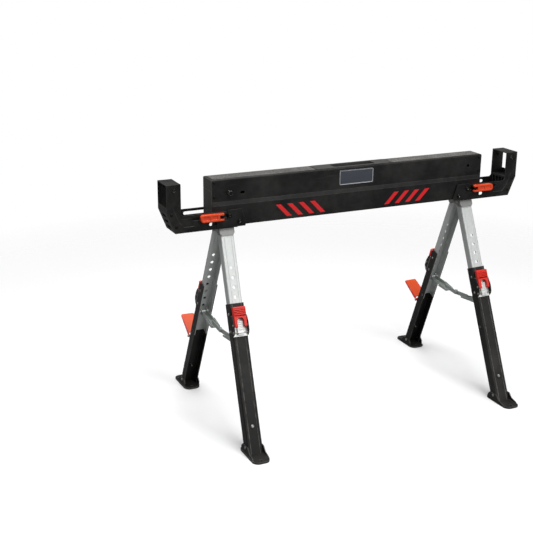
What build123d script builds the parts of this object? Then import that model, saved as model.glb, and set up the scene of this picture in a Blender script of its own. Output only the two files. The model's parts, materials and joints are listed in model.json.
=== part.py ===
"""Folding sawhorse: a steel beam with two sliding support arms and four height-adjustable legs.

Millimetres, +Z up, +X along the beam, front at -Y, origin on the floor under the middle of the beam.
Each leg pair hangs in a leg head that folds about a cross pin in the beam. Each leg is an upper
channel with a row of holes and a lower channel that slides over it and is held by a latch.
"""

from build123d import *
import math
import os

# ---------------------------------------------------------------- driving dimensions
HEIGHT = 743.0  # floor to the top of the beam
BEAM_LENGTH = 914.0
BEAM_HALF_TOP = 31.0  # half width above the joggle
BEAM_HALF_LOW = 33.5  # half width below the joggle
BEAM_BOTTOM = 606.0
JOGGLE_TOP = 677.0
JOGGLE_LOW = 666.0
SHEET = 2.5  # beam, arms and brackets
CAP_WALL = 2.0
STUDS = ((-402, -1), (402, 1))  # carrying knobs: place along the beam, and front or back
STUD_HEIGHT = 702.0

TREAD_THICK = 1.2
TREAD_HALF = 25.0
TRAY_START = -123.0
TRAY_END = 131.0
TRAY_HALF = 25.0
GRIP_START = -60.0
GRIP_END = 78.0
GRIP_HALF = 17.0
GRIP_DEPTH = 20.0

ARM_INNER = BEAM_HALF_LOW + 0.4
ARM_OUTER = ARM_INNER + SHEET
ARM_TOP = 740.0
ARM_BOTTOM = 600.5
ARM_RAIL_TOP = 650.0
TOWER_NEAR = 549.0
TOWER_FAR = 591.0
TOWER_BEND = 660.0  # where the tower's outer edge turns inward
ARM_END = 379.0  # inner end of the arm plates, behind the brackets
SLOT_HEIGHT = 637.5
SLOT_HALF = 4.8

BRACKET_INNER = ARM_OUTER + 0.4
BRACKET_OUTER = BRACKET_INNER + SHEET
BRACKET_BOLT_X = 405.0

FOLD_X = 374.0
FOLD_Z = 617.0
FOLD_PIN_RADIUS = 4.0
LEAN = 1.6  # degrees a standing leg leans out along the beam
SPLAY = 22.5  # degrees a standing leg spreads to the front or the back
LEG_OFFSET = 35.0  # leg centre outboard of the fold pin
SPREAD_Y = 14.5
SPREAD_Z = -27.0  # below the fold pin
SPREAD_PIN_RADIUS = 4.0

UPPER_HALF = 20.0
UPPER_WEB = 12.0  # outer face of the web from the spread pin
UPPER_SHEET = 2.0
UPPER_LENGTH = 412.0
HOLE_FIRST = 111.5
HOLE_PITCH = 28.1
HOLE_COUNT = 9
HOLE_RADIUS = 4.6
LOWER_HALF = 23.0
LOWER_WEB = 15.0
LOWER_SHEET = 2.4
LOWER_START = 213.0
LOWER_BACK = -12.5  # free edges of the lower channel's sides
LATCH_HOLE = 5  # the hole that the latch pin stands over
EAR_OUTER = 23.0  # outer faces of the latch's ears
STOP_SCREW = 562.0

CAM_X = 430.0
CAM_Y = 43.8
LEVER_LENGTH = 65.0
LEVER_HALF_THICK = 6.4
LEVER_LOW = 627.0
LEVER_TOP = 648.0

BRACE_AT = 323.0  # along the upper leg
BRACE_INSET = -2.0
BRACE_SAG = 12.0
LUG_LENGTH = 38.0

FLAP_AT = 443.0
FLAP_OUT = 20.0
FLAP_LENGTH = 88.0
FLAP_HALF = 22.0
FLAP_OPEN = 82.0  # degrees off the leg as it stands

PAD_THICK = 5.0
PAD_INNER = 50.0  # pad's reach towards the middle, from its reference point
PAD_OUTER = 62.0
FOOT_RIVET = 619.0  # along the leg

FIT = 0.08  # radial room round a turning pin


# ---------------------------------------------------------------- small helpers
def block(low, high):
    """A box between two corners."""
    size = [b - a for a, b in zip(low, high)]
    middle = [(a + b) / 2 for a, b in zip(low, high)]
    return Pos(*middle) * Box(*size)


def rod(axis, start, end, radius, a, b):
    """A cylinder along an axis from start to end, at a and b on the other two axes in order."""
    length = end - start
    middle = (start + end) / 2
    if axis == "X":
        return Pos(middle, a, b) * Rot(0, 90, 0) * Cylinder(radius, length)
    if axis == "Y":
        return Pos(a, middle, b) * Rot(90, 0, 0) * Cylinder(radius, length)
    return Pos(a, b, middle) * Cylinder(radius, length)


def plate_xz(points, start, end):
    """A plate with its outline in X and Z, between two Y values."""
    face = make_face(Polyline([(x, start, z) for x, z in points], close=True))
    return extrude(face, amount=end - start, dir=(0, 1, 0))


def plate_yz(points, start, end):
    """A plate with its outline in Y and Z, between two X values."""
    face = make_face(Polyline([(start, y, z) for y, z in points], close=True))
    return extrude(face, amount=end - start, dir=(1, 0, 0))


def plate_xy(points, start, end):
    """A plate with its outline in X and Y, between two Z values."""
    face = make_face(Polyline([(x, y, start) for x, y in points], close=True))
    return extrude(face, amount=end - start, dir=(0, 0, 1))


def slot_y(near, far, z, half, start, end):
    """A round-ended slot through Y, from near to far along X."""
    middle = block((near, start, z - half), (far, end, z + half))
    return middle + rod("Y", start, end, half, near, z) + rod("Y", start, end, half, far, z)


def flip(shape):
    """The same shape at the other end of the beam."""
    return mirror(shape, Plane.YZ)


def group(shapes):
    """Separate solids kept together in one node."""
    solids = []
    for shape in shapes:
        solids.extend(shape.solids())
    return Compound(children=solids)


def domed(axis, at, outward, radius, rise, a, b):
    """A rivet head: a disc on a surface at a place along an axis, with its outer rim rounded."""
    start, end = sorted((at, at + outward * rise))
    head = rod(axis, start, end, radius, a, b)
    along = {"X": Axis.X, "Y": Axis.Y, "Z": Axis.Z}[axis]
    rims = head.edges().filter_by(GeomType.CIRCLE).sort_by(along)
    return fillet(rims[-1 if outward > 0 else 0], rise * 0.9)


def hexagon(start, end, across, a, b):
    """A hexagonal prism along Y."""
    corner = across / math.sqrt(3)
    turns = [math.radians(30 + 60 * k) for k in range(6)]
    outline = [(a + corner * math.cos(t), b + corner * math.sin(t)) for t in turns]
    return plate_xz(outline, start, end)


def button_head(face, outward, radius, x, z):
    """A domed screw head with a hexagon socket, standing on a face at a Y value."""
    head = domed("Y", face, outward, radius, 3.8, x, z)
    socket = sorted((face + outward * 1.6, face + outward * 5))
    return head - hexagon(*socket, radius * 0.62, x, z)


# ---------------------------------------------------------------- beam
def beam_outline(inset):
    """The beam's section in Y and Z, drawn in by the sheet thickness."""
    top = HEIGHT - TREAD_THICK - inset
    half_top = BEAM_HALF_TOP - inset
    half_low = BEAM_HALF_LOW - inset
    bottom = BEAM_BOTTOM - (1 if inset else 0)
    right = [(half_top, top), (half_top, JOGGLE_TOP), (half_low, JOGGLE_LOW), (half_low, bottom)]
    left = [(-y, z) for y, z in reversed(right)]
    return right + left


def beam_shell():
    """Folded steel channel, open below, with a wider lower part."""
    end = BEAM_LENGTH / 2 - CAP_WALL
    outer = plate_yz(beam_outline(0), -end, end)
    edges = outer.edges().filter_by(Axis.X).group_by(Axis.Z)[-1]
    outer = fillet(edges, 4)
    inner = plate_yz(beam_outline(SHEET), -end - 1, end + 1)
    shell = outer - inner
    shell -= block((GRIP_START - 2, -GRIP_HALF - 2, 700), (GRIP_END + 2, GRIP_HALF + 2, 760))
    for side in (-1, 1):
        for y in (-1, 1):
            wall = (20, 40) if y > 0 else (-40, -20)
            for z in (733, 691):
                shell -= rod("Y", *wall, 2.0, side * 448, z)
            shell -= rod("Y", *wall, FOLD_PIN_RADIUS, side * FOLD_X, FOLD_Z)
            shell -= rod("Y", *wall, 4.0, side * BRACKET_BOLT_X, SLOT_HEIGHT)
        shell -= rod("Y", -40, -20, 3.5, side * CAM_X, SLOT_HEIGHT)
    for x, y in STUDS:
        shell -= rod("Y", *((20, 40) if y > 0 else (-40, -20)), 3.0, x, STUD_HEIGHT)
    shell -= slot_y(-365, -359, 699, 4.0, -40, -20)
    shell -= rod("Y", -40, -20, 5.0, 408, 709)
    return shell


def end_cap():
    """Pressed cap that closes the left end of the beam."""
    end = -BEAM_LENGTH / 2
    half = BEAM_HALF_TOP - 0.6
    cap = block((end, -half, 622), (end + CAP_WALL, half, HEIGHT - TREAD_THICK - 0.6))
    cap = fillet(cap.edges().filter_by(Axis.X).group_by(Axis.Z)[-1], 3.5)
    inner = BEAM_HALF_TOP - SHEET
    cap -= block((end - 1, -half - 1, 708.4), (end + 0.7, half + 1, 709.8))
    for y in (-1, 1):
        lip = sorted((y * inner, y * (inner - 2)))
        cap += block((end + CAP_WALL, lip[0], 682), (end + 20, lip[1], HEIGHT - 5))
        hole = sorted((y * (inner - 4), y * (inner + 2)))
        for z in (733, 691):
            cap -= rod("Y", *hole, 2.0, end + 9, z)
    return cap


def cap_rivets():
    rivets = []
    for x in (-448, 448):
        for y in (-1, 1):
            for z in (733, 691):
                shank = sorted((y * (BEAM_HALF_TOP - SHEET - 2), y * BEAM_HALF_TOP))
                head = domed("Y", y * BEAM_HALF_TOP, y, 4.2, 1.8, x, z)
                rivets.append(rod("Y", *shank, 2.0, x, z) + head)
    return group(rivets)


def tread(start, end):
    """Anti-slip strip along the top of the beam, with shallow cross grooves."""
    low = HEIGHT - TREAD_THICK
    strip = block((start, -TREAD_HALF, low), (end, TREAD_HALF, HEIGHT))
    strip = fillet(strip.edges().filter_by(Axis.Z), 4)
    grooves = int((end - start - 20) / 24)
    for k in range(grooves):
        x = start + 18 + 24 * k
        strip -= block((x - 1, -TREAD_HALF + 4, HEIGHT - 0.6), (x + 1, TREAD_HALF - 4, HEIGHT + 1))
    return strip


def handle_tray():
    """Moulded hand grip let into the middle of the top."""
    low = HEIGHT - TREAD_THICK
    rim = block((TRAY_START, -TRAY_HALF, low), (TRAY_END, TRAY_HALF, HEIGHT))
    rim = fillet(rim.edges().filter_by(Axis.Z), 9)
    bowl = block(
        (GRIP_START - 1.8, -GRIP_HALF - 1.8, HEIGHT - GRIP_DEPTH),
        (GRIP_END + 1.8, GRIP_HALF + 1.8, HEIGHT),
    )
    bowl = fillet(bowl.edges().filter_by(Axis.Z), 7)
    hollow = block(
        (GRIP_START, -GRIP_HALF, HEIGHT - GRIP_DEPTH + 2), (GRIP_END, GRIP_HALF, HEIGHT + 1)
    )
    hollow = fillet(hollow.edges().filter_by(Axis.Z), 6)
    finger_slot = block((56, -12, HEIGHT - GRIP_DEPTH - 1), (72, 12, HEIGHT))
    panel = block((90, -9, HEIGHT - 0.5), (124, 9, HEIGHT + 1))
    panel = fillet(panel.edges().filter_by(Axis.Z), 8.5)
    return rim + bowl - hollow - finger_slot - panel


def name_plates():
    """Blank plates on the front and the back of the beam."""
    plates = []
    for y in (-1, 1):
        span = sorted((y * BEAM_HALF_TOP, y * (BEAM_HALF_TOP + 0.8)))
        plate = block((-50, span[0], 690), (64, span[1], 733))
        plates.append(fillet(plate.edges().filter_by(Axis.Y), 4))
    return group(plates)


def stripes(face):
    """Slanting warning stripes on one side of the beam."""
    inner = face * BEAM_HALF_LOW
    outer = face * (BEAM_HALF_LOW + 0.25)
    low, high = sorted((inner, outer))
    shapes = []
    for k in range(4):
        x = -258.5 + 36.7 * k
        left = [(x, 652), (x + 16, 652), (x + 52, 615), (x + 36, 615)]
        shapes.append(plate_xz(left, low, high))
        x = 106 + 36.7 * k
        right = [(x, 616), (x + 16, 616), (x + 50, 652), (x + 34, 652)]
        shapes.append(plate_xz(right, low, high))
    return group(shapes)


def link_studs():
    """Knobs that hook a second sawhorse on for carrying, one on each side of the beam."""
    studs = []
    for x, y in STUDS:
        parts = None
        for near, far, radius in ((28, 31, 3.0), (31, 33, 6.0), (33, 38, 3.5), (38, 41, 6.5)):
            span = sorted((y * near, y * far))
            piece = rod("Y", *span, radius, x, STUD_HEIGHT)
            parts = piece if parts is None else parts + piece
        studs.append(parts)
    return group(studs)


# ---------------------------------------------------------------- support arms
def arm_side():
    """Outline of one side of the left arm: the tower and the rail that runs along the beam."""
    return [
        (-TOWER_FAR, ARM_TOP),
        (-TOWER_NEAR, ARM_TOP),
        (-TOWER_NEAR, ARM_RAIL_TOP + 6),
        (-TOWER_NEAR + 6, ARM_RAIL_TOP),
        (-ARM_END, ARM_RAIL_TOP),
        (-ARM_END, ARM_BOTTOM),
        (-567, ARM_BOTTOM),
        (-TOWER_FAR, TOWER_BEND),
    ]


def arm_frame():
    """Left support arm: two side plates, the tower's top plate and the sloping end plate."""
    frame = None
    recess = [(-572, 672), (-556, 672), (-546, 643), (-512, 643), (-508, 617), (-541, 617), (-556, 634)]
    for y in (-1, 1):
        span = sorted((y * ARM_INNER, y * ARM_OUTER))
        side = plate_xz(arm_side(), *span)
        wide = sorted((y * (ARM_INNER - 1), y * (ARM_OUTER + 1)))
        side -= slot_y(-512, -403, SLOT_HEIGHT, SLOT_HALF, *wide)
        side -= slot_y(-461, -370, FOLD_Z, SLOT_HALF, *wide)
        skin = sorted((y * (ARM_OUTER - 0.9), y * (ARM_OUTER + 1)))
        side -= plate_xz(recess, *skin)
        side -= rod("Y", *wide, 3.0, -569, 722)
        for x, z in ((-577, 655), (-563, 619)):
            side -= rod("Y", *wide, 2.5, x, z)
        frame = side if frame is None else frame + side
    top = block((-TOWER_FAR, -ARM_INNER, ARM_TOP - SHEET), (-TOWER_NEAR, ARM_INNER, ARM_TOP))
    frame += top
    ends = [(-TOWER_FAR, 676), (-TOWER_FAR + 2.5, 676), (-TOWER_FAR + 2.5, TOWER_BEND + 0.4)]
    ends += [(-564.6, ARM_BOTTOM), (-567, ARM_BOTTOM), (-TOWER_FAR, TOWER_BEND)]
    frame += plate_xz(ends, -ARM_INNER, ARM_INNER)
    for z in (648, 631, 614):
        x = -567 - (z - ARM_BOTTOM) * (TOWER_FAR - 567) / (TOWER_BEND - ARM_BOTTOM)
        frame -= block((x - 6, -14, z - 4), (x + 8, 14, z + 4))
    return frame


def arm_insert():
    """Ribbed block that stiffens the foot of the left tower."""
    half = ARM_INNER
    outline = [(-584.5, 662), (-552, 662), (-552, 604), (-562.5, 604)]
    block_shape = plate_xz(outline, -half, half)
    for k in range(4):
        y = -24 + 16 * k
        block_shape -= block((-583, y - 5.5, 610), (-545, y + 5.5, 656))
    for x, z in ((-577, 655), (-563, 619)):
        block_shape -= rod("Y", -half - 1, half + 1, 2.5, x, z)
    return block_shape


def arm_fixings():
    """Screws and rivets of the left tower."""
    pieces = []
    for y in (-1, 1):
        for x, z in ((-577, 655), (-563, 619)):
            span = sorted((y * (ARM_INNER - 6), y * ARM_OUTER))
            head = domed("Y", y * ARM_OUTER, y, 4.2, 1.8, x, z)
            pieces.append(rod("Y", *span, 2.5, x, z) + head)
        span = sorted((y * (ARM_INNER - 5), y * ARM_OUTER))
        low, high = sorted((y * ARM_OUTER, y * (ARM_OUTER + 2.4)))
        screw = rod("Y", *span, 3.0, -569, 722) + rod("Y", low, high, 5.5, -569, 722)
        low, high = sorted((y * (ARM_OUTER + 1.2), y * (ARM_OUTER + 3)))
        screw -= block((-573, low, 721.3), (-565, high, 722.7))
        screw -= block((-569.7, low, 718), (-568.3, high, 726))
        pieces.append(screw)
    return group(pieces)


def bracket_plates():
    """Chamfered guide plates, outside the arm rails at all four corners of the beam."""
    plates = []
    outline = [(-411, 654), (-368, 654), (-353, 611), (-357, 603)]
    outline += [(-444, 603), (-444, 624), (-411, 624)]
    for y in (-1, 1):
        span = sorted((y * BRACKET_INNER, y * BRACKET_OUTER))
        wide = sorted((y * (BRACKET_INNER - 1), y * (BRACKET_OUTER + 1)))
        plate = plate_xz(outline, *span)
        plate -= rod("Y", *wide, FOLD_PIN_RADIUS, -FOLD_X, FOLD_Z)
        plate -= rod("Y", *wide, 4.0, -BRACKET_BOLT_X, SLOT_HEIGHT)
        plates.extend((plate, flip(plate)))
    return group(plates)


def bracket_bolts():
    """Short bolts at the top of each guide plate, with a spacer sleeve and a nut inside."""
    bolts = []
    for x in (-BRACKET_BOLT_X, BRACKET_BOLT_X):
        for y in (-1, 1):
            span = sorted((y * (BEAM_HALF_LOW - SHEET - 1), y * BRACKET_OUTER))
            bolt = rod("Y", *span, 4.0, x, SLOT_HEIGHT)
            bolt += button_head(y * BRACKET_OUTER, y, 7.0, x, SLOT_HEIGHT)
            low, high = sorted((y * (BEAM_HALF_LOW - SHEET - 2.2), y * (BEAM_HALF_LOW - SHEET)))
            bolt += hexagon(low, high, 12, x, SLOT_HEIGHT)
            bolts.append(bolt)
    return bolts


def fold_pins():
    """Long pins across the beam that the leg heads fold about."""
    pins = []
    for x in (-FOLD_X, FOLD_X):
        pin = rod("Y", -BRACKET_OUTER, BRACKET_OUTER, FOLD_PIN_RADIUS, x, FOLD_Z)
        pin += button_head(-BRACKET_OUTER, -1, 7.0, x, FOLD_Z)
        pin += button_head(BRACKET_OUTER, 1, 7.0, x, FOLD_Z)
        pins.append(pin)
    return pins


def cam_bolt():
    """Eye bolt of the left clamp, with its cross pin."""
    bolt = rod("Y", -CAM_Y, -BEAM_HALF_LOW + SHEET + 6, 3.5, -CAM_X, SLOT_HEIGHT)
    bolt += rod("Z", SLOT_HEIGHT - 4.5, SLOT_HEIGHT + 4.5, 5.0, -CAM_X, -CAM_Y)
    start = -BEAM_HALF_LOW + SHEET
    bolt += hexagon(start, start + 5, 11, -CAM_X, SLOT_HEIGHT)
    bolt += rod("Z", LEVER_LOW + 1, LEVER_TOP - 1, 2.4, -CAM_X, -CAM_Y)
    return bolt


def cam_lever():
    """Left clamp lever: a forked cam end and a handle with two finger recesses."""
    near = -CAM_X
    far = -CAM_X - LEVER_LENGTH
    low_y = -CAM_Y - LEVER_HALF_THICK
    high_y = -CAM_Y + LEVER_HALF_THICK
    handle = block((far, low_y, LEVER_LOW), (near, high_y, LEVER_TOP))
    handle = fillet(handle.edges().filter_by(Axis.Y).group_by(Axis.X)[0], 8)
    handle += rod("Z", LEVER_LOW, LEVER_TOP, LEVER_HALF_THICK, near, -CAM_Y)
    handle -= block(
        (near - 8, low_y - 1, SLOT_HEIGHT - 5), (near + 10, high_y + 1, SLOT_HEIGHT + 5)
    )
    handle -= rod("Z", LEVER_LOW - 1, LEVER_TOP + 1, 2.4 + FIT, near, -CAM_Y)
    for start, end in ((far + 7, far + 27), (far + 32, far + 50)):
        handle -= block((start, low_y - 1, LEVER_LOW + 5), (end, low_y + 2.2, LEVER_TOP - 5))
    handle -= block((far + 4, high_y - 4, LEVER_LOW + 4), (near - 12, high_y + 1, LEVER_TOP - 4))
    return handle


# ---------------------------------------------------------------- leg heads
def head_at(side):
    """Where the leg head's own frame stands: side is -1 at the left end and 1 at the right."""
    return Pos(side * FOLD_X, 0, FOLD_Z) * Rot(0, -side * LEAN, 0)


def splay_line(distance):
    """Outline points of a plane parallel to a standing leg's web, at a distance from its pin."""
    slope = math.radians(SPLAY)

    def at(z):
        drop = SPREAD_Z - z
        return SPREAD_Y + distance / math.cos(slope) + drop * math.tan(slope)

    return at


def leg_head():
    """Left leg head: two cheeks on the fold pin, two side plates and the hoods over the legs."""
    inner = UPPER_HALF + 0.4
    outer = inner + 2.2
    hood_in = splay_line(UPPER_WEB + 1.1)
    hood_out = splay_line(UPPER_WEB + 3.3)
    low = -40.0
    cheek = [(-LEG_OFFSET - outer, 6), (-LEG_OFFSET - outer, -12), (-10, -12), (8, -9)]
    cheek += [(10, 0), (8, 9), (0, 11), (-10, 11), (-LEG_OFFSET - outer + 5, 11)]
    side = [(-28, -10), (-28, 11), (28, 11), (28, -10)]
    side += [(hood_out(-12), -12), (hood_out(low), low)]
    side += [(hood_in(low) - 14, low), (6, -34), (-6, -34), (14 - hood_in(low), low)]
    side += [(-hood_out(low), low), (-hood_out(-12), -12)]
    head = None
    for x in (-LEG_OFFSET - outer, -LEG_OFFSET + inner):
        piece = plate_yz(side, x, x + 2.2)
        head = piece if head is None else head + piece
    for y in (-1, 1):
        span = sorted((y * 25.8, y * 28))
        head += plate_xz(cheek, *span)
        hood = [
            (y * hood_in(-11), -11),
            (y * hood_out(-11), -11),
            (y * hood_out(low), low),
            (y * hood_in(low), low),
        ]
        head += plate_yz(hood, -LEG_OFFSET - outer, -LEG_OFFSET + outer)
        for x in (-LEG_OFFSET - outer, -LEG_OFFSET + outer):
            corner = [(x - 6, low - 1), (x + 6, low - 1), (x, low + 7)]
            head -= plate_xz(corner, *sorted((y * 26, y * 50)))
    head += block((-LEG_OFFSET - outer, -28, 8.8), (-LEG_OFFSET + outer, 28, 11))
    head -= rod("Y", -40, 40, FOLD_PIN_RADIUS + FIT, 0, 0)
    for y in (-1, 1):
        head -= rod("X", -LEG_OFFSET - 40, 0, SPREAD_PIN_RADIUS, y * SPREAD_Y, SPREAD_Z)
    return head


def spread_pins():
    """The two pins of the left leg head that the legs spread about."""
    reach = UPPER_HALF + 2.6
    pins = []
    for y in (-1, 1):
        place = (y * SPREAD_Y, SPREAD_Z)
        pin = rod("X", -LEG_OFFSET - reach, -LEG_OFFSET + reach, SPREAD_PIN_RADIUS, *place)
        pin += domed("X", -LEG_OFFSET + reach, 1, 6, 1.6, *place)
        pin += domed("X", -LEG_OFFSET - reach, -1, 6, 1.6, *place)
        pins.append(pin)
    return group(pins)


# ---------------------------------------------------------------- legs, in a leg's own frame
def leg_at(side, depth):
    """A leg's frame: X across it, Y out of its web, Z up along it, with the spread pin at zero."""
    place = head_at(side) * Pos(side * LEG_OFFSET, depth * SPREAD_Y, SPREAD_Z)
    place = place * Rot(depth * SPLAY, 0, 0)
    if depth < 0:
        place = place * Rot(0, 0, 180)
    return place


def channel(half, web, back, sheet, start, end):
    """A channel along the leg with its web on the outer side, from start to end down the leg."""
    outer = block((-half, back, -end), (half, web, -start))
    edges = outer.edges().filter_by(Axis.Z).group_by(Axis.Y)[-1]
    outer = fillet(edges, sheet + 1)
    inner = block((-half + sheet, back - 1, -end - 1), (half - sheet, web - sheet, -start + 1))
    return outer - inner


def upper_leg():
    """Galvanised upper channel with rounded ears on the spread pin and a row of holes."""
    leg = channel(UPPER_HALF, UPPER_WEB, -UPPER_WEB, UPPER_SHEET, 0, UPPER_LENGTH)
    for start in (-UPPER_HALF, UPPER_HALF - UPPER_SHEET):
        leg += rod("X", start, start + UPPER_SHEET, UPPER_WEB, 0, 0)
    leg -= rod("X", -40, 40, SPREAD_PIN_RADIUS + FIT, 0, 0)
    groove = block((-11, UPPER_WEB - 0.8, -UPPER_LENGTH - 1), (-9.6, UPPER_WEB + 1, -24))
    leg -= groove
    leg -= mirror(groove, Plane.YZ)
    for k in range(HOLE_COUNT):
        leg -= rod("Y", 0, UPPER_WEB + 1, HOLE_RADIUS, 0, -HOLE_FIRST - k * HOLE_PITCH)
    leg -= rod("X", -40, 40, 3.5, BRACE_INSET, -BRACE_AT)
    return leg


def pin_place():
    """How far down the leg the latch pin stands."""
    return HOLE_FIRST + LATCH_HOLE * HOLE_PITCH


def floor_cut(side, depth, height):
    """Everything below a height above the floor, in the leg's own frame."""
    slab = block((-900, -700, -400), (900, 700, height))
    return leg_at(side, depth).inverse() * slab


def lower_leg(side, depth):
    """Black lower channel that slides over the upper one and stands in the foot."""
    leg = channel(LOWER_HALF, LOWER_WEB, LOWER_BACK, LOWER_SHEET, LOWER_START, 690)
    for x in (-14.6, 13.0):
        leg -= block((x, LOWER_WEB - 1.0, -700), (x + 1.6, LOWER_WEB + 1, 0))
    pin = pin_place()
    leg -= rod("Y", 0, 40, 4.4, 0, -pin)
    leg -= rod("Y", 0, 40, 2.5, 0, -STOP_SCREW)
    for down in (LOWER_START + 29, LOWER_START + 79):
        leg -= rod("X", -40, 40, 2.0, 3, -down)
    leg -= rod("X", -40, 40, 4.0, -3, -(FLAP_AT - 42))
    leg -= rod("X", -40, 40, 2.5, 2, -FOOT_RIVET)
    return leg - floor_cut(side, depth, PAD_THICK)


def foot_outline():
    """Side cheeks of the foot in Y out of the web and Z up the leg."""
    return [(-24, -612), (-12, -607), (20, -619), (27, -636), (46, -650), (48, -690), (-42, -690)]


def foot(side, depth):
    """Pressed steel shoe: a floor pad with two screw holes and cheeks riveted to the leg."""
    shoe = None
    inner = LOWER_HALF
    for x in (-inner - 2.2, inner):
        cheek = plate_yz(foot_outline(), x, x + 2.2)
        shoe = cheek if shoe is None else shoe + cheek
    shoe = leg_at(side, depth) * shoe
    shoe -= block((-900, -700, -400), (900, 700, 0))
    middle = leg_at(side, depth) * Pos(0, 0, -672)
    spot = middle.position
    x0, y0 = spot.X, spot.Y - depth * 10
    near, far = sorted((y0 - depth * PAD_INNER, y0 + depth * PAD_OUTER))
    shoe = shoe & block((x0 - 60, near + 3, -1), (x0 + 60, far - 3, 60))
    pad = block((x0 - 26, near, 0), (x0 + 26, far, PAD_THICK))
    shoe += fillet(pad.edges().filter_by(Axis.Z), 18)
    for y in (depth * 49, -depth * 37):
        shoe -= rod("Z", -1, 10, 4.0, x0, y0 + y)
    bore = leg_at(side, depth) * rod("X", -60, 60, 2.5, 2, -FOOT_RIVET)
    return shoe - bore


def foot_rivets():
    rivets = []
    for x in (-1, 1):
        span = sorted((x * (LOWER_HALF - LOWER_SHEET), x * (LOWER_HALF + 2.2)))
        head = domed("X", x * (LOWER_HALF + 2.2), x, 4.4, 1.8, 2, -FOOT_RIVET)
        rivets.append(rod("X", *span, 2.5, 2, -FOOT_RIVET) + head)
    return rivets


def latch_base():
    """Steel cradle of the latch, on the web at the top of the lower leg, with a rounded ear each side."""
    start = LOWER_START + 34
    end = LOWER_START + 95
    base = block((-EAR_OUTER, LOWER_WEB, -end), (EAR_OUTER, LOWER_WEB + 1.6, -start))
    ear = [(LOWER_WEB, -start), (LOWER_WEB + 7, -start - 1), (LOWER_WEB + 11, -start - 5)]
    ear += [(LOWER_WEB + 15, -start - 20), (LOWER_WEB + 16, -start - 32), (LOWER_WEB + 15, -end + 16)]
    ear += [(LOWER_WEB + 11, -end + 8), (LOWER_WEB + 5, -end + 3), (LOWER_WEB, -end + 1)]
    for x in (-EAR_OUTER, EAR_OUTER - 1.6):
        base += plate_yz(ear, x, x + 1.6)
    base += block((-18, LOWER_WEB, -end), (18, LOWER_WEB + 5, -end + 1.6))
    base -= rod("Y", 0, 60, 4.4, 0, -pin_place())
    for place in latch_pivots():
        base -= rod("X", -40, 40, 2.0, *place)
    return base


def latch_pivots():
    """Cross pins of the latch lever and the latch tab, in Y and Z of the leg."""
    lever = (LOWER_WEB + 9.5, -(LOWER_START + 63))
    tab = (LOWER_WEB + 5.6, -(LOWER_START + 84))
    return lever, tab


def latch_fixings():
    """The latch's cross pins, its plunger, the side rivets and the stop screw."""
    pieces = []
    lever_pivot, tab_pivot = latch_pivots()
    for x in (-1, 1):
        stub = rod("X", *sorted((x * 10.6, x * EAR_OUTER)), 2.0, *lever_pivot)
        pieces.append(stub + domed("X", x * EAR_OUTER, x, 3.4, 1.3, *lever_pivot))
    pin = rod("X", -EAR_OUTER, EAR_OUTER, 2.0, *tab_pivot)
    for x in (-1, 1):
        pin += domed("X", x * EAR_OUTER, x, 3.4, 1.3, *tab_pivot)
    pieces.append(pin)
    pieces.append(rod("Y", UPPER_WEB + 0.5, LOWER_WEB + 3.0, 4.4, 0, -pin_place()))
    for down in (LOWER_START + 29, LOWER_START + 79):
        for x in (-1, 1):
            span = sorted((x * (LOWER_HALF - LOWER_SHEET), x * LOWER_HALF))
            head = domed("X", x * LOWER_HALF, x, 4.0, 1.6, 3, -down)
            pieces.append(rod("X", *span, 2.0, 3, -down) + head)
    screw = rod("Y", 2, LOWER_WEB, 2.5, 0, -STOP_SCREW)
    screw += domed("Y", LOWER_WEB, 1, 5.0, 2.4, 0, -STOP_SCREW)
    pieces.append(screw)
    return pieces


def latch_lever():
    """Red latch lever with a rimmed grip, four grip ribs and an arched opening between its prongs."""
    half = 19.8
    top = -(LOWER_START + 11)
    bottom = -(LOWER_START + 69)
    back = LOWER_WEB + 5.2
    face = LOWER_WEB + 15.4
    lever = block((-half, back, bottom), (half, face, top))
    lever = fillet(lever.edges().filter_by(Axis.X).group_by(Axis.Y)[-1], 3.0)
    lever = fillet(lever.edges().filter_by(Axis.Y).group_by(Axis.Z)[-1], 3.0)
    lever -= block((-half + 2.6, face - 1.6, bottom + 31), (half - 2.6, face + 1, top - 5))
    for k in range(4):
        lever += rod("X", -half + 2.7, half - 2.7, 1.6, face - 1.5, top - 8.5 - 4.6 * k)
    pivot = latch_pivots()[0]
    lever -= block((-10.4, back - 1, bottom - 1), (10.4, face + 3, bottom + 17))
    lever -= rod("Y", back - 1, face + 3, 10.4, 0, bottom + 17)
    lever -= rod("X", -30, 30, 2.0 + FIT, *pivot)
    lever -= block((-half + 3, back - 1, bottom + 30), (half - 3, face - 4.2, top - 3))
    return lever


def latch_tab():
    """Bright ribbed tab below the latch lever that draws the plunger."""
    pivot = latch_pivots()[1]
    low = pivot[1] - 6
    high = pivot[1] + 33
    tab = block((-9.4, pivot[0] - 1.2, low), (9.4, pivot[0] + 1.2, high))
    tab += rod("X", -9.4, 9.4, 3.6, *pivot)
    tab += block((-9.4, pivot[0], low), (9.4, pivot[0] + 4.4, low + 2.4))
    for k in range(5):
        tab += rod("X", -8, 8, 1.2, pivot[0] + 1.2, pivot[1] + 9 + 5 * k)
    tab -= rod("X", -30, 30, 2.0 + FIT, *pivot)
    return tab


def flap_hinge():
    """Lugs, on the outer face of a rear leg, that carry the rail flap's cross pin."""
    lugs = None
    for x in (-17.0, 14.6):
        outline = [(LOWER_WEB, -FLAP_AT - 12), (LOWER_WEB, -FLAP_AT + 12)]
        outline += [(FLAP_OUT + 4, -FLAP_AT + 4), (FLAP_OUT + 4, -FLAP_AT - 4)]
        piece = plate_yz(outline, x, x + 2.4)
        lugs = piece if lugs is None else lugs + piece
    lugs += block((-17, LOWER_WEB, -FLAP_AT - 12), (17, LOWER_WEB + 1.6, -FLAP_AT + 12))
    lugs -= rod("X", -30, 30, 2.5, FLAP_OUT, -FLAP_AT)
    return lugs


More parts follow.
